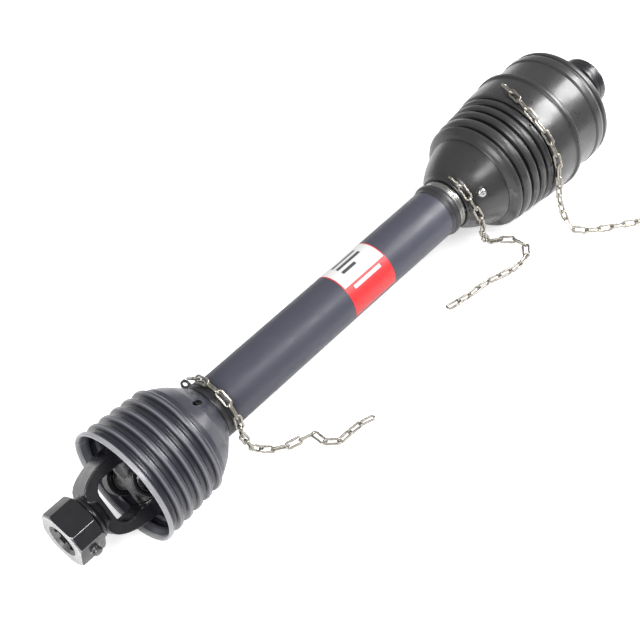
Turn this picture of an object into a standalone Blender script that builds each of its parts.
"""Universal joint shaft with safety guards: one single Cardan joint, a telescoping profile-tube drive
line, one wide-angle double joint, a two-piece guard with a ribbed cone and a bellows guard, and three
restraint chains.

The shaft lies along +X, implement end at -X, tractor end at +X, +Z up. Work is done in millimetres in
a shaft frame whose X axis is the shaft axis; each finished mesh is moved to the model frame in metres.
"""

import math

import bmesh
import bpy
from mathutils import Matrix, Vector

# ------------------------------------------------------------------ driving dimensions, millimetres
FLANGE_X, FLANGE_R = 441.5, 92.0  # widest ring of the wide-angle guard
CONE_LIP_X, CONE_LIP_R = -331.0, 78.9

ORIGIN_X = 81.5  # model origin in the shaft frame, along X
ORIGIN_Y = -49.6076  # and sideways, because the chains lie on one side
AXIS_HEIGHT = FLANGE_R  # shaft axis above the model's lowest point

ROLL_DEG = 43.0  # roll of the cross arms about the shaft
X_IMPLEMENT_CROSS = -314.0
X_CROSS_A = 415.0  # first cross of the wide-angle joint
X_CROSS_B = 500.0  # second cross
X_PUSH_PIN = -405.0
X_IMPLEMENT_ROLL_PIN = X_IMPLEMENT_CROSS + 89.0
X_CV_ROLL_PIN = X_CROSS_A - 80.0

EAR_IN, EAR_OUT, EAR_R = 29.0, 46.0, 22.0  # fork ears, in and out measured from the cross centre
BORE_R, CAP_R, CAP_IN_R, TRUNNION_R = 15.2, 14.9, 11.3, 10.8
SHOULDER_R = 14.5  # middle of the cross arms
PIN_SIDES = 12
SMALL_SIDES = 8  # sides of roll pins, nipples and other small holes
ROLL_PIN_R, ROLL_PIN_HOLE_R = 4.0, 4.4

DEPTH_SINGLE = 34.5  # fork depth from the cross centre
DEPTH_IMPLEMENT = 51.0
DEPTH_WIDE = 39.0
FORK_BASE, FORK_BASE_IMPLEMENT = 9.5, 14.5  # thickness of the fork behind its depth
FORK_HALF_WIDTH = 20.0
FORK_FILLET = 15.0

HUB_FACE_IMPLEMENT = 110.0  # hub end face, from the cross centre
HUB_START_IMPLEMENT = 75.0
HUB_FACE_TRACTOR = 87.0
HUB_FLAT, HUB_CORNER = 32.0, 18.6  # centre to flat, and half the width of a flat
HUB_BEVEL = 1.6
HUB_ROLL_DEG = 96.0
SPLINE_MAJOR_R, SPLINE_MINOR_R, SPLINE_TEETH = 17.45, 14.9, 6
SPLINE_DEPTH = 62.0

GUARD_TUBE_R, GUARD_TUBE_IN = 35.0, 32.2
GUARD_INNER_R, GUARD_INNER_IN = 31.5, 29.3
OUTER_DRIVE_R, OUTER_DRIVE_IN = 26.0, 22.6  # mean radii of the lobed profile tubes
INNER_DRIVE_R, INNER_DRIVE_IN = 22.1, 18.3
LOBE, LOBED_SIDES = 2.0, 30

ROUND = 24  # sides of guard parts, hubs and necks
SHARP_ANGLE = math.radians(35)

# chain link outside length and width, wire radius
LINK_LENGTH, LINK_WIDTH, LINK_WIRE = 24.5, 11.5, 1.65
LINK_PITCH = 18.6
CHAIN_SLACK = 1.6  # how far a run is moved back into the loop it hangs from


def radial(angle):
    """Unit vector square to the shaft, at an angle from +Y towards +Z."""
    return Vector((0, math.cos(angle), math.sin(angle)))


X_AXIS = Vector((1, 0, 0))
ARM_1 = radial(math.radians(ROLL_DEG))  # pins of the implement yoke and the centre housing
ARM_2 = X_AXIS.cross(ARM_1)  # pins of the tube yokes and the tractor yoke
BETWEEN_ARMS = ARM_2 - ARM_1
SHIFT = Vector((-ORIGIN_X, -ORIGIN_Y, AXIS_HEIGHT))

# ------------------------------------------------------------------ materials
LOOKS = {
    "black_paint": dict(colour=(0.02, 0.02, 0.022), roughness=0.38, metallic=0.0),
    "steel": dict(colour=(0.55, 0.55, 0.56), roughness=0.3, metallic=1.0),
    "tube_steel": dict(colour=(0.3, 0.31, 0.32), roughness=0.45, metallic=1.0),
    "zinc": dict(colour=(0.72, 0.69, 0.6), roughness=0.32, metallic=1.0),
    "guard_blue": dict(colour=(0.055, 0.06, 0.085), roughness=0.5, metallic=0.0),
    "guard_black": dict(colour=(0.03, 0.031, 0.034), roughness=0.35, metallic=0.0),
    "bearing_plastic": dict(colour=(0.6, 0.6, 0.57), roughness=0.5, metallic=0.0),
}


def material(name, colour, roughness, metallic):
    mat = bpy.data.materials.new(name)
    mat.use_nodes = True
    shader = mat.node_tree.nodes["Principled BSDF"]
    shader.inputs["Base Color"].default_value = (*colour, 1)
    shader.inputs["Roughness"].default_value = roughness
    shader.inputs["Metallic"].default_value = metallic
    mat.diffuse_color = (*colour, 1)
    return mat


# ------------------------------------------------------------------ bodies: an empty on each joint axis
# body: (parent body, x of its pivot)
BODIES = {
    "drive_outer": (None, 0.0),
    "implement_cross_body": ("drive_outer", X_IMPLEMENT_CROSS),
    "implement_yoke_body": ("implement_cross_body", X_IMPLEMENT_CROSS),
    "implement_push_pin_body": ("implement_yoke_body", X_PUSH_PIN),
    "guard_outer": ("drive_outer", 0.0),
    "implement_chain_body": ("guard_outer", -188.0),
    "drive_inner": ("drive_outer", 0.0),
    "guard_inner": ("drive_inner", 0.0),
    "collar_chain_body": ("guard_inner", 262.0),
    "bellows_1": ("guard_inner", X_CROSS_A),
    "bellows_2": ("bellows_1", X_CROSS_A),
    "bellows_3": ("bellows_2", X_CROSS_A),
    "bellows_4": ("bellows_3", X_CROSS_A),
    "cv_inner_cross_body": ("drive_inner", X_CROSS_A),
    "cv_housing": ("cv_inner_cross_body", X_CROSS_A),
    "cv_bell": ("cv_housing", 460.0),
    "band_chain_body": ("cv_bell", 415.0),
    "cv_outer_cross_body": ("cv_housing", X_CROSS_B),
    "tractor_yoke_body": ("cv_outer_cross_body", X_CROSS_B),
    "quick_release_body": ("tractor_yoke_body", 570.0),
}
PIVOT, EMPTY = {}, {}


def build_bodies():
    for body, (parent, at) in BODIES.items():
        PIVOT[body] = (Vector((at, 0, 0)) + SHIFT) / 1000
        empty = bpy.data.objects.new("joint_" + body, None)
        empty.empty_display_size = 0.02
        bpy.context.scene.collection.objects.link(empty)
        empty.location = PIVOT[body]
        if parent:
            empty.parent = EMPTY[parent]
            empty.location = PIVOT[body] - PIVOT[parent]
        EMPTY[body] = empty


# ------------------------------------------------------------------ outlines
def circle(radius, sides, start=0.0):
    angles = [start + 2 * math.pi * i / sides for i in range(sides)]
    return [(radius * math.cos(a), radius * math.sin(a)) for a in angles]


def half_circle(radius, count, start):
    """Half a turn from angle start, both ends included."""
    angles = [start + math.pi * i / (count - 1) for i in range(count)]
    return [(radius * math.cos(a), radius * math.sin(a)) for a in angles]


def shifted(profile, at, direction=1):
    """A profile of (offset, r) laid off from x = at, towards +X or -X."""
    return [(at + direction * offset, r) for offset, r in profile]


def mirrored(half):
    """A profile completed with its mirror image about x = 0."""
    return half + [(-x, r) for x, r in half[::-1]]


# ------------------------------------------------------------------ solids, in millimetres
def to_object(bm):
    bmesh.ops.recalc_face_normals(bm, faces=bm.faces)
    mesh = bpy.data.meshes.new("piece")
    bm.to_mesh(mesh)
    bm.free()
    obj = bpy.data.objects.new("piece", mesh)
    bpy.context.scene.collection.objects.link(obj)
    return obj


def lathe(profile, sides=ROUND):
    """Solid of revolution about X. profile is (x, r): a closed loop, or open with its ends on the axis."""
    bm = bmesh.new()
    verts = [bm.verts.new((x, r, 0)) for x, r in profile]
    pairs = list(zip(verts, verts[1:]))
    if profile[0][1] > 0 or profile[-1][1] > 0:
        pairs.append((verts[-1], verts[0]))
    edges = [bm.edges.new(pair) for pair in pairs]
    bmesh.ops.spin(
        bm, geom=verts + edges, cent=(0, 0, 0), axis=(1, 0, 0), dvec=(0, 0, 0),
        angle=2 * math.pi, steps=sides, use_merge=True,
    )
    bmesh.ops.remove_doubles(bm, verts=bm.verts, dist=1e-3)
    return to_object(bm)


def cylinder(low, high, radius, sides):
    return lathe([(low, 0), (low, radius), (high, radius), (high, 0)], sides)


def sleeve(low, high, inner, outer):
    return lathe([(low, inner), (low, outer), (high, outer), (high, inner)])


def prism(outline, start, end, frame):
    """An outline in local (x, y), extruded along local z; frame carries local to shaft frame."""
    bm = bmesh.new()
    face = bm.faces.new([bm.verts.new((x, y, start)) for x, y in outline])
    extruded = bmesh.ops.extrude_face_region(bm, geom=[face])
    top = [item for item in extruded["geom"] if isinstance(item, bmesh.types.BMVert)]
    bmesh.ops.translate(bm, vec=(0, 0, end - start), verts=top)
    bmesh.ops.transform(bm, matrix=frame, verts=bm.verts)
    return to_object(bm)


def axes(x_axis, y_axis, origin=(0, 0, 0)):
    """Matrix with these local x and y directions, and z completing a right-handed frame."""
    x_axis, y_axis = Vector(x_axis).normalized(), Vector(y_axis).normalized()
    matrix = Matrix((x_axis, y_axis, x_axis.cross(y_axis))).transposed().to_4x4()
    matrix.translation = Vector(origin)
    return matrix


def pin_frame(pin, at):
    """Local x along the pin, local y along the shaft."""
    return axes(pin, X_AXIS, (at, 0, 0))


def placed(obj, matrix):
    obj.data.transform(matrix)
    return obj


def combine(obj, others, operation):
    """Boolean of obj with a list of objects at once, applied to obj's mesh. The others are used up."""
    mod = obj.modifiers.new(operation.lower(), "BOOLEAN")
    mod.operation, mod.solver = operation, "EXACT"
    group = None
    if len(others) == 1:
        mod.object = others[0]
    else:
        group = bpy.data.collections.new("operands")
        for other in others:
            group.objects.link(other)
        mod.operand_type, mod.collection = "COLLECTION", group
    graph = bpy.context.evaluated_depsgraph_get()
    mesh = bpy.data.meshes.new_from_object(obj.evaluated_get(graph))
    obj.modifiers.clear()
    obj.data = mesh
    for other in others:
        bpy.data.objects.remove(other)
    if group:
        bpy.data.collections.remove(group)
    return obj


def cut(obj, *cutters):
    """Takes the cutters out of obj one after another."""
    for cutter in cutters:
        combine(obj, [cutter], "DIFFERENCE")
    return obj


def drop_slivers(bm):
    """Removes what a union can leave where two wires only touch: folded triangles and tiny islands."""
    bmesh.ops.triangulate(bm, faces=bm.faces)
    seen = {}
    for face in bm.faces:
        seen.setdefault(frozenset(face.verts), []).append(face)
    doubled = [face for faces in seen.values() if len(faces) > 1 for face in faces]
    bmesh.ops.delete(bm, geom=doubled, context="FACES")
    unvisited = set(bm.verts)
    while unvisited:
        queue = [unvisited.pop()]
        island = set(queue)
        while queue:
            for edge in queue.pop().link_edges:
                for vert in edge.verts:
                    if vert not in island:
                        island.add(vert)
                        queue.append(vert)
        unvisited -= island
        if len(island) < 10:
            bmesh.ops.delete(bm, geom=list(island), context="VERTS")


def part(obj, name, body, look, touching_wires=False):
    """Names the finished piece, moves it to its body's frame in metres and hangs it on the empty."""
    obj.name = name
    obj.data.name = name
    bm = bmesh.new()
    bm.from_mesh(obj.data)
    bmesh.ops.remove_doubles(bm, verts=bm.verts, dist=2e-3)
    bmesh.ops.dissolve_degenerate(bm, edges=bm.edges, dist=1e-3)
    if touching_wires:
        drop_slivers(bm)
    to_metres = Matrix.Scale(0.001, 4) @ Matrix.Translation(SHIFT)
    to_body = Matrix.Translation(-PIVOT[body]) @ to_metres
    bmesh.ops.transform(bm, matrix=to_body, verts=bm.verts)
    bm.to_mesh(obj.data)
    bm.free()
    obj.data.materials.clear()
    obj.data.materials.append(material(name + "_" + look, **LOOKS[look]))
    obj.data.shade_smooth()
    obj.data.set_sharp_from_angle(angle=SHARP_ANGLE)
    obj.parent = EMPTY[body]


# ------------------------------------------------------------------ fork, cross and bearing cups
def fork(depth, base, frame):
    """U-shaped fork, x along the shaft and y along the pin: its side outline meets its front outline."""
    tip = -30.0
    fillet_x, fillet_y = depth - FORK_FILLET, EAR_IN - FORK_FILLET
    inner = [(tip, EAR_IN), (fillet_x, EAR_IN)]
    for angle in (0.4, 0.8, 1.2, math.pi / 2):
        inner.append(
            (fillet_x + FORK_FILLET * math.sin(angle), fillet_y + FORK_FILLET * math.cos(angle))
        )
    # the outside curves round a quarter ellipse
    centre_x, centre_y = 8.0, 23.0
    reach, drop = depth + base - centre_x, EAR_OUT - centre_y
    outer = [(tip, EAR_OUT)]
    for angle in (0, 0.45, 0.85, 1.2, math.pi / 2):
        outer.append((centre_x + reach * math.sin(angle), centre_y + drop * math.cos(angle)))
    side = outer + [(x, -y) for x, y in outer[::-1]] + [(x, -y) for x, y in inner] + inner[::-1]

    ear_end, back = 9.0, depth + base + 4
    front = half_circle(EAR_R, 11, math.pi / 2)
    front += [(ear_end, -FORK_HALF_WIDTH), (back, -FORK_HALF_WIDTH)]
    front += [(back, FORK_HALF_WIDTH), (ear_end, FORK_HALF_WIDTH)]
    along_pin = Matrix(((1, 0, 0, 0), (0, 0, -1, 0), (0, 1, 0, 0), (0, 0, 0, 1)))
    block = prism(side, -26, 26, frame)
    return combine(block, [prism(front, -60, 60, frame @ along_pin)], "INTERSECT")


def pin_bore(pin, at):
    return placed(cylinder(-60, 60, BORE_R, PIN_SIDES), pin_frame(pin, at))


def roll_pin_hole(at):
    return placed(cylinder(-50, 50, ROLL_PIN_HOLE_R, SMALL_SIDES), pin_frame(ARM_2, at))


def cups(pin, at, stem, body):
    """Two needle-bearing cups pressed into opposite ears, open towards the cross."""
    low, floor, high = 28.3, 38.6, 42.4
    profile = [
        (high, 0), (high, CAP_R), (low, CAP_R), (low, CAP_IN_R), (floor, CAP_IN_R), (floor, 0),
    ]
    for number, sign in ((1, 1), (2, -1)):
        cup = placed(lathe(profile, PIN_SIDES), pin_frame(pin * sign, at))
        part(cup, f"{stem}{number}", body, "steel")


def cross(at, name):
    """Cross with four trunnions, shouldered towards the middle, and its grease nipple."""
    arm = mirrored([
        (-38, 0), (-38, TRUNNION_R - 1), (-37, TRUNNION_R), (-27.6, TRUNNION_R),
        (-26.5, SHOULDER_R),
    ])
    spider = placed(lathe(arm, PIN_SIDES), pin_frame(ARM_1, at))
    combine(spider, [placed(lathe(arm, PIN_SIDES), pin_frame(ARM_2, at))], "UNION")
    nipple_frame = pin_frame(BETWEEN_ARMS, at)
    cut(spider, placed(cylinder(14.8, 40, 4.4, SMALL_SIDES), nipple_frame))
    part(spider, name, name + "_body", "steel")

    nipple = [(15.2, 0), (15.2, 4), (23.4, 4), (23.4, 2.5), (26.4, 2.5), (28.4, 1.2), (28.4, 0)]
    nipple = placed(lathe(nipple, SMALL_SIDES), nipple_frame)
    part(nipple, name + "_grease_nipple", name + "_body", "zinc")


def spline_bore(face, inward):
    """Spline bore cutter with an entry chamfer. inward is the direction of the hole from its end face."""
    overshoot = 3
    half_gap, half_foot = math.radians(14.4), math.radians(17.2)
    corners = (
        (SPLINE_MINOR_R, -half_foot), (SPLINE_MAJOR_R, -half_gap),
        (SPLINE_MAJOR_R, half_gap), (SPLINE_MINOR_R, half_foot),
    )
    outline = []
    for k in range(SPLINE_TEETH):
        middle = 2 * math.pi * k / SPLINE_TEETH
        for r, angle in corners:
            outline.append((r * math.cos(middle + angle), r * math.sin(middle + angle)))
    low, high = (-SPLINE_DEPTH, overshoot) if inward < 0 else (-overshoot, SPLINE_DEPTH)
    cutter = prism(outline, low, high, axes((0, 1, 0), (0, 0, 1), (face, 0, 0)))
    chamfer = [(-overshoot, 0), (-overshoot, 24.2), (6.6, 14.6), (6.6, 0)]
    return combine(cutter, [lathe(shifted(chamfer, face, inward))], "UNION")


def tube_yoke(name, body, at, direction, depth, neck, roll_pin_x):
    """Yoke whose neck, a profile of offsets from the cross, meets a drive tube at a roll pin."""
    yoke = fork(depth, FORK_BASE, axes(X_AXIS * direction, ARM_2, (at, 0, 0)))
    combine(yoke, [lathe(shifted(neck, at, direction))], "UNION")
    cut(yoke, pin_bore(ARM_2, at), roll_pin_hole(roll_pin_x))
    part(yoke, name, body, "black_paint")
    cups(ARM_2, at, name + "_cup_", body)


# ------------------------------------------------------------------ implement end
def implement_hub(face, flat_direction):
    """Square hub block with cut corners and bevelled ends."""
    a, b = HUB_FLAT, HUB_CORNER
    square = [(a, -b), (a, b), (b, a), (-b, a), (-a, b), (-a, -b), (-b, -a), (b, -a)]
    frame = axes(flat_direction, X_AXIS.cross(flat_direction), (face, 0, 0))
    hub = prism(square, HUB_FACE_IMPLEMENT - HUB_START_IMPLEMENT, 0, frame)
    bm = bmesh.new()
    bm.from_mesh(hub.data)
    ends = [e for e in bm.edges if abs(e.verts[0].co.x - e.verts[1].co.x) < 0.01]
    bmesh.ops.bevel(bm, geom=ends, offset=HUB_BEVEL, segments=1, affect="EDGES")
    bm.to_mesh(hub.data)
    bm.free()
    return hub


def implement_yoke():
    """Implement yoke with its splined hub, cups and push pin."""
    at = X_IMPLEMENT_CROSS
    face = at - HUB_FACE_IMPLEMENT
    flat_direction = radial(math.radians(HUB_ROLL_DEG))
    push_pin_frame = pin_frame(X_AXIS.cross(flat_direction), X_PUSH_PIN)
    yoke = fork(DEPTH_IMPLEMENT, FORK_BASE_IMPLEMENT, axes(-X_AXIS, ARM_1, (at, 0, 0)))
    neck = [(61, 0), (61, 22.5), (66, 26), (69, 28.5), (72.5, 28.5), (74, 26), (81, 26), (81, 0)]
    combine(yoke, [lathe(shifted(neck, at, -1)), implement_hub(face, flat_direction)], "UNION")
    push_pin_hole = placed(cylinder(8, 60, 6.0, PIN_SIDES), push_pin_frame)
    cut(yoke, pin_bore(ARM_1, at), spline_bore(face, 1), push_pin_hole)
    part(yoke, "implement_yoke", "implement_yoke_body", "black_paint")
    cups(ARM_1, at, "implement_yoke_cup_", "implement_yoke_body")

    pin = [(15.6, 0), (15.6, 4.6), (17.0, 5.7), (38.4, 5.7), (39.8, 4.4), (39.8, 0)]
    pin = placed(lathe(pin, PIN_SIDES), push_pin_frame)
    part(pin, "implement_push_pin", "implement_push_pin_body", "steel")


def implement_joint():
    implement_yoke()
    cross(X_IMPLEMENT_CROSS, "implement_cross")
    neck = [
        (40, 0), (40, 29), (58, 29), (60, 27), (70, 27), (70, 20.1), (110, 20.1), (110, 0),
    ]
    tube_yoke(
        "implement_tube_yoke", "drive_outer", at=X_IMPLEMENT_CROSS, direction=1,
        depth=DEPTH_SINGLE, neck=neck, roll_pin_x=X_IMPLEMENT_ROLL_PIN,
    )


# ------------------------------------------------------------------ profile tubes and roll pins
def lobed_ring(mean):
    ring = []
    for i in range(LOBED_SIDES):
        angle = 2 * math.pi * i / LOBED_SIDES
        r = mean + LOBE * math.cos(3 * angle)
        ring.append((r * math.cos(angle), r * math.sin(angle)))
    return ring


def lobed_tube(low, high, outer, inner, hole_at):
    """Three-lobed tube with a roll-pin hole."""
    frame = axes(ARM_1, ARM_2)
    tube = prism(lobed_ring(outer), low, high, frame)
    hollow = prism(lobed_ring(inner), low - 5, high + 5, frame)
    return cut(tube, hollow, roll_pin_hole(hole_at))


def roll_pin(at, half):
    profile = mirrored([(-half, 0), (-half, ROLL_PIN_R - 0.8), (1 - half, ROLL_PIN_R)])
    return placed(lathe(profile, SMALL_SIDES), pin_frame(ARM_2, at))


def drive_tubes():
    outer = lobed_tube(-243, 205, OUTER_DRIVE_R, OUTER_DRIVE_IN, X_IMPLEMENT_ROLL_PIN)
    part(outer, "outer_drive_tube", "drive_outer", "tube_steel")
    inner = lobed_tube(-198, 354, INNER_DRIVE_R, INNER_DRIVE_IN, X_CV_ROLL_PIN)
    part(inner, "inner_drive_tube", "drive_inner", "tube_steel")
    part(roll_pin(X_IMPLEMENT_ROLL_PIN, 28), "implement_roll_pin", "drive_outer", "steel")
    part(roll_pin(X_CV_ROLL_PIN, 24), "cv_roll_pin", "drive_inner", "steel")


# ------------------------------------------------------------------ wide-angle joint
def centre_housing():
    """Two side plates, a narrow web between the crosses and a ring that carries the guard bearing."""
    span = X_CROSS_B - X_CROSS_A
    waist = 12  # from each cross centre to where the plate narrows
    plate = half_circle(EAR_R, 9, math.pi / 2)
    plate += [(waist, -FORK_HALF_WIDTH), (span - waist, -FORK_HALF_WIDTH)]
    plate += [(span + x, y) for x, y in half_circle(EAR_R, 9, -math.pi / 2)]
    plate += [(span - waist, FORK_HALF_WIDTH), (waist, FORK_HALF_WIDTH)]
    frame = axes(X_AXIS, ARM_1.cross(X_AXIS), (X_CROSS_A, 0, 0))  # local z along ARM_1
    housing = prism(plate, EAR_IN, EAR_OUT, frame)
    other_plate = prism(plate, -EAR_OUT, -EAR_IN, frame)
    low, high, half_web = 37.5, 47.5, 16
    web = [(low, -half_web), (high, -half_web), (high, half_web), (low, half_web)]
    web = prism(web, -EAR_IN - 3, EAR_IN + 3, frame)
    ring = sleeve(X_CROSS_A + low, X_CROSS_A + high, 37.2, 50)
    combine(housing, [other_plate, web, ring], "UNION")
    cut(housing, pin_bore(ARM_1, X_CROSS_A), pin_bore(ARM_1, X_CROSS_B))
    part(housing, "cv_centre_housing", "cv_housing", "black_paint")
    cups(ARM_1, X_CROSS_A, "cv_housing_cup_a", "cv_housing")
    cups(ARM_1, X_CROSS_B, "cv_housing_cup_b", "cv_housing")


def tractor_yoke():
    at, face = X_CROSS_B, HUB_FACE_TRACTOR
    yoke = fork(DEPTH_WIDE, FORK_BASE, axes(X_AXIS, ARM_2, (at, 0, 0)))
    hub = [
        (45, 0), (45, 29), (51, 29), (52, 27), (face - 1.2, 27), (face, 25.8), (face, 0),
    ]
    combine(yoke, [lathe(shifted(hub, at))], "UNION")
    cut(yoke, pin_bore(ARM_2, at), spline_bore(at + face, -1))
    part(yoke, "tractor_yoke", "tractor_yoke_body", "black_paint")
    cups(ARM_2, at, "tractor_yoke_cup_", "tractor_yoke_body")


def quick_release():
    """Collar round the tractor hub, hollow for its spring, and the ring that keeps it on."""
    collar = [
        (561, 32.5), (561, 35.0), (563, 37.5), (582, 37.5),
        (584, 35.5), (584, 27.6), (578, 27.6), (578, 32.5),
    ]
    part(lathe(collar), "quick_release_collar", "quick_release_body", "black_paint")
    ring = sleeve(584.6, 586.4, 27.4, 31.6)
    part(ring, "collar_retaining_ring", "tractor_yoke_body", "steel")


def collar_spring():
    """Coil round the tractor hub, under the quick-release collar."""
    turns, steps_per_turn = 3, 12
    wire_r, mean_r = 1.1, 29.4
    low, high = 553.8, 576.4
    corners = (0, math.pi / 2, math.pi, 3 * math.pi / 2)  # four-sided wire
    bm = bmesh.new()
    rings = []
    count = turns * steps_per_turn
    for i in range(count + 1):
        out = radial(2 * math.pi * i / steps_per_turn)
        centre = Vector((low + (high - low) * i / count, 0, 0))
        rings.append([
            bm.verts.new(
                centre + out * (mean_r + wire_r * math.cos(c)) + X_AXIS * wire_r * math.sin(c)
            )
            for c in corners
        ])
    for one, two in zip(rings, rings[1:]):
        for k in range(4):
            bm.faces.new((one[k], one[(k + 1) % 4], two[(k + 1) % 4], two[k]))
    bm.faces.new(rings[0])
    bm.faces.new(rings[-1][::-1])
    part(to_object(bm), "quick_release_spring", "tractor_yoke_body", "steel")


def wide_angle_joint():
    neck = [(45, 0), (45, 29), (57, 29), (60, 26), (60, 15.8), (100, 15.8), (100, 0)]
    tube_yoke(
        "cv_tube_yoke", "drive_inner", at=X_CROSS_A, direction=-1,
        depth=DEPTH_WIDE, neck=neck, roll_pin_x=X_CV_ROLL_PIN,
    )
    cross(X_CROSS_A, "cv_inner_cross")
    cross(X_CROSS_B, "cv_outer_cross")
    centre_housing()
    tractor_yoke()
    quick_release()
    collar_spring()


# ------------------------------------------------------------------ implement guard, profiles (x, r)
def guard_cone():
    """Ribbed cone with one slot in its narrow end."""
    outer = [(-332.0, 74.5), (-334.0, 77.2), (-332.8, 78.8), (-328.6, 78.9), (-326.6, 77.2)]
    first_ridge, ridge_pitch, ridge_count = -314.0, 16.5, 5
    ridge_r, ridge_taper = 77.9, 1.02
    for k in range(ridge_count):
        x, r = first_ridge + ridge_pitch * k, ridge_r - ridge_taper * k
        outer += [(x - 4.6, r - 5.2), (x - 3.4, r), (x + 3.4, r - 0.2), (x + 4.6, r - 5.6)]
    outer += [
        (-236.0, 67.2), (-229.0, 63.4), (-219.5, 57.5),
        (-209.5, 49.0), (-201.5, 41.6), (-197.4, 38.0),
    ]
    inner = [(-197.4, 35.5), (-209.5, 46.2), (-231.0, 60.4), (-243.0, 64.6), (-322.0, 69.6)]
    cone = lathe(outer + inner)
    slot_direction = radial(math.radians(100))
    slot = [
        (5.2 * x + (1.5 if x > 0 else -1.5), 3.2 * y) for x, y in circle(1, 8, math.pi / 8)
    ]
    slot_frame = axes(X_AXIS, -X_AXIS.cross(slot_direction), (-216, 0, 0))
    cut(cone, prism(slot, 44, 66, slot_frame))
    part(cone, "implement_guard_cone", "guard_outer", "guard_blue")


def guard_collar():
    """Collar behind the cone, with an eye for the chain: a flat lug with a hole."""
    collar = lathe([
        (-196.9, 35.3), (-196.9, 37.4), (-195, 38.2), (-181, 38.2), (-178.5, 37), (-178.5, 35.3),
    ])
    lug_frame = axes(X_AXIS, radial(0.35))
    lug = [
        (-195.5, 36.6), (-184.5, 36.6), (-184.5, 45), (-187, 49.5), (-193, 49.5), (-195.5, 45),
    ]
    combine(collar, [prism(lug, -2.2, 2.2, lug_frame)], "UNION")
    eye_x, eye_r = -190, 43.8
    eye = [(eye_x + x, eye_r + y) for x, y in circle(3.1, 8)]
    cut(collar, prism(eye, -9, 9, lug_frame))
    part(collar, "implement_guard_collar", "guard_outer", "guard_black")


def implement_guard():
    guard_cone()
    guard_collar()
    bearing = [
        (-207, 28.9), (-207, 33.2), (-203.5, 33.2), (-203.5, 34.8), (-191, 34.8), (-191, 28.9),
    ]
    part(lathe(bearing), "implement_guard_bearing", "guard_outer", "bearing_plastic")
    tube = sleeve(-190.6, 235.6, GUARD_TUBE_IN, GUARD_TUBE_R)
    part(tube, "guard_outer_tube", "guard_outer", "guard_blue")
    end_ring = [
        (236, GUARD_TUBE_IN), (236, 35.3), (231, 35.3), (231, 37.2),
        (233.5, 38.2), (245, 38.2), (247, 36.4), (247, GUARD_TUBE_IN),
    ]
    part(lathe(end_ring), "guard_tube_end_ring", "guard_outer", "guard_black")


# ------------------------------------------------------------------ wide-angle guard, profiles (x, r)
def guard_base():
    """Dome at the end of the inner guard tube, and the screw on it."""
    dome = lathe([
        (259, 33.5), (259, 38.6), (262, 40.2), (270, 45.5), (278, 50.2), (286, 54.6),
        (297, 59.6), (307, 63.4), (312.8, 65.6),
        (312.8, 62.8), (297, 56.8), (285, 51.4), (274.5, 45.0), (274.5, 33.5),
    ])
    side = radial(math.radians(141))
    out = (side + X_AXIS * -0.42).normalized()
    foot = Vector((281, 0, 0)) + side * 50.6
    screw_frame = axes(out, X_AXIS.cross(out), foot)
    screw_sides = 10
    cut(dome, placed(cylinder(-8, 12, 3.0, screw_sides), screw_frame))
    part(dome, "cv_guard_base", "guard_inner", "guard_black")
    screw = [(-4, 0), (-4, 2.6), (4.1, 2.6), (4.1, 6.0), (6.6, 5.4), (7.4, 3.4), (7.4, 0)]
    screw = placed(lathe(screw, screw_sides), screw_frame)
    part(screw, "cv_guard_screw", "guard_inner", "zinc")


def bellows():
    """One fold to a body, so that the folds can share out the bend."""
    thick = 3.0
    folds = (
        ((313.2, 66.4), (317.5, 72.5), (322.5, 78.0), (326.5, 78.8), (329.4, 75.2)),
        ((329.8, 75.2), (333.5, 80.0), (343.5, 80.9), (348.3, 77.0)),
        ((348.7, 77.0), (351.5, 81.6), (359.5, 82.4), (363.3, 78.8)),
        ((363.7, 78.8), (366.5, 83.0), (373.5, 83.6), (377.4, 80.4),
         (380.0, 84.4), (386.0, 85.0), (390.5, 82.6)),
    )
    for number, fold in enumerate(folds, 1):
        (x0, r0), (x1, r1) = fold[0], fold[-1]
        inner = [(x1, r1 - thick), ((x0 + x1) / 2, min(r0, r1) - thick), (x0, r0 - thick)]
        name = f"cv_guard_bellows_{number}"
        part(lathe(list(fold) + inner), name, f"bellows_{number}", "guard_black")


def guard_bell():
    """Bell over the wide-angle joint and the bearing that carries it."""
    bell = [
        (391, 82.8), (392.5, 86.2), (400, 87.6), (418, 88.8), (436, 89.0),
        (438.5, FLANGE_R), (444, FLANGE_R), (446, 87.0), (449, 85.2), (488.5, 85.2),
        (490, 87.0), (502, 86.8), (506, 84.2), (510, 86.0), (514, 85.4),
        (516.6, 83.2), (516.6, 80.8), (448, 81.8), (391, 79.8),
    ]
    part(lathe(bell), "cv_guard_bell", "cv_bell", "guard_black")
    bearing = [
        (453.2, 51.2), (453.2, 56.0), (455.0, 57.5), (455.0, 81.2),
        (460.0, 81.2), (460.0, 57.5), (461.8, 56.0), (461.8, 51.2),
    ]
    part(lathe(bearing), "cv_bell_bearing", "cv_bell", "bearing_plastic")


def wide_angle_guard():
    tube = sleeve(-150, 258.5, GUARD_INNER_IN, GUARD_INNER_R)
    part(tube, "guard_inner_tube", "guard_inner", "guard_blue")
    collar = [(247.6, 31.9), (247.6, 34.6), (249, 35.6), (258.4, 35.6), (258.4, 31.9)]
    part(lathe(collar), "cv_guard_collar", "guard_inner", "zinc")
    part(sleeve(259, 272, 24.9, 33.0), "cv_guard_bearing", "guard_inner", "bearing_plastic")
    guard_base()
    bellows()
    guard_bell()


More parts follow.
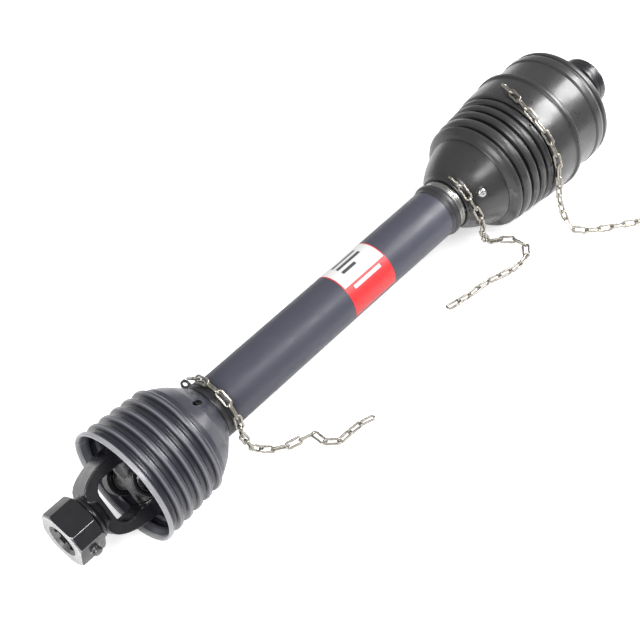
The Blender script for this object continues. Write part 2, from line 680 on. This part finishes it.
# ------------------------------------------------------------------ chains
def catmull_rom(points, steps=40):
    """Fine points along a Catmull-Rom curve through the given points."""
    pts = [Vector(p) for p in points]
    pts = [pts[0] * 2 - pts[1]] + pts + [pts[-1] * 2 - pts[-2]]
    fine = []
    for a, b, c, d in zip(pts, pts[1:], pts[2:], pts[3:]):
        for i in range(steps):
            t = i / steps
            square = (2 * a - 5 * b + 4 * c - d) * t * t
            cube = (3 * b - a - 3 * c + d) * t * t * t
            fine.append(0.5 * (2 * b + (c - a) * t + square + cube))
    fine.append(pts[-2])
    return fine


def even_path(points, step):
    """Points one straight step apart along the curve through the given points."""
    fine = catmull_rom(points)
    path = [fine[0]]
    for start, end in zip(fine, fine[1:]):
        while (end - path[-1]).length >= step:
            # bisect for where the segment leaves the sphere of radius step round the last joint
            low, high = 0.0, 1.0
            for _ in range(24):
                middle = (low + high) / 2
                if (start.lerp(end, middle) - path[-1]).length < step:
                    low = middle
                else:
                    high = middle
            path.append(start.lerp(end, high))
    return path


def square_to(vector, along):
    """Unit vector nearest to vector that is square to along."""
    return (vector - along * vector.dot(along)).normalized()


def link(centre, along, normal):
    """One oval link: six stations round it, three-sided wire."""
    half, side = LINK_LENGTH / 2 - LINK_WIRE, LINK_WIDTH / 2 - LINK_WIRE
    along = along.normalized()
    normal = square_to(normal, along)
    across = normal.cross(along)
    straight = half - side * 0.8  # end of the link's straight side
    stations = [
        (half, 0), (straight, side), (-straight, side),
        (-half, 0), (-straight, -side), (straight, -side),
    ]
    wire = ((-1.15, 0), (0.7, 1), (0.7, -1))  # (outward, along normal), in wire radii
    bm = bmesh.new()
    rows = []
    for x, y in stations:
        out = Vector((0.6 * x / half, y / side, 0)).normalized()
        rows.append([
            bm.verts.new(
                centre
                + along * (x + out.x * LINK_WIRE * outward)
                + across * (y + out.y * LINK_WIRE * outward)
                + normal * LINK_WIRE * lift
            )
            for outward, lift in wire
        ])
    for one, two in zip(rows, rows[1:] + rows[:1]):
        for k in range(3):
            bm.faces.new((one[k], one[(k + 1) % 3], two[(k + 1) % 3], two[k]))
    return to_object(bm)


def chain(stem, loop_body, loop, run):
    """Interlocked links along loop and then run. Links of each are joined where they bear on each
    other; the run hangs free in the last link of the loop, one slack closer."""
    path = even_path(loop + run, LINK_PITCH)
    border = Vector(run[0])
    split = min(range(len(path)), key=lambda i: (path[i] - border).length)
    pull = (path[split + 1] - path[split]).normalized() * -CHAIN_SLACK
    normal = Vector((0, path[0].y, path[0].z)).normalized()
    loop_links, run_links = [], []
    for i, (start, end) in enumerate(zip(path, path[1:])):
        along = (end - start).normalized()
        normal = square_to(normal, along)
        # successive links lean to opposite sides of the normal
        side = along.cross(normal) * (1 if i % 2 else -1)
        links = loop_links
        if i >= split:
            start, end = start + pull, end + pull
            links = run_links
        links.append(link((start + end) / 2, along, normal + side))
    for links, name, body in (
        (loop_links, stem + "_chain_loop", loop_body),
        (run_links, stem + "_chain_run", stem + "_chain_body"),
    ):
        joined = combine(links[0], links[1:], "UNION")
        part(joined, name, body, "zinc", touching_wires=True)


def around(start, end, steps):
    """Points round the shaft between two (x, radius, angle), degrees from +Y towards +Z."""
    points = []
    for i in range(steps + 1):
        x, r, degrees = (u + (v - u) * i / steps for u, v in zip(start, end))
        angle = math.radians(degrees)
        points.append((x, r * math.cos(angle), r * math.sin(angle)))
    return points


def ground(x):
    """Height of the ground under the shaft: it touches the cone lip and the wide-angle flange."""
    slope = (FLANGE_R - CONE_LIP_R) / (FLANGE_X - CONE_LIP_X)
    return -CONE_LIP_R - slope * (x - CONE_LIP_X)


def lying(*points):
    """Chain points on the ground, from their (x, y)."""
    return [(x, y, ground(x) + LINK_WIRE + 3.4) for x, y in points]


def chains():
    loop = around((-185, 44.8, 33), (-185, 44.8, 192), 8)
    run = [(-178, -46.5, -34), (-170, -49, -56)]
    run += lying(
        (-144, -60), (-125, -71), (-105, -76), (-88, -86),
        (-97, -103), (-80, -112), (-52, -112), (-27, -119),
    )
    chain("implement", "guard_outer", loop, run)

    loop = around((261, 49.2, 84), (261, 49.2, 146), 3)
    loop += around((265, 51.5, 168), (271, 55.5, 190), 1)
    run = [(276, -54, -34), (290, -51, -60)]
    run += lying(
        (311, -50), (326, -60), (338, -78), (331, -97), (306, -104),
        (278, -99), (249, -90), (225, -87), (202, -84), (168, -76),
    )
    chain("collar", "guard_inner", loop, run)

    loop = around((412, 94.8, 74), (397, 93.6, 96), 1)
    loop += around((391, 92.8, 114), (390, 92.6, 178), 3)
    run = [(394, -95, -26), (400, -99, -52), (406, -103, -72)]
    run += lying(
        (412, -107), (409, -116), (405, -128), (420, -138),
        (436, -152), (456, -164), (480, -180), (505, -192),
    )
    chain("band", "cv_bell", loop, run)


# ------------------------------------------------------------------ build
for old in list(bpy.data.objects):
    bpy.data.objects.remove(old)

build_bodies()
implement_joint()
drive_tubes()
wide_angle_joint()
implement_guard()
wide_angle_guard()
chains()
for orphan in [mesh for mesh in bpy.data.meshes if mesh.users == 0]:
    bpy.data.meshes.remove(orphan)
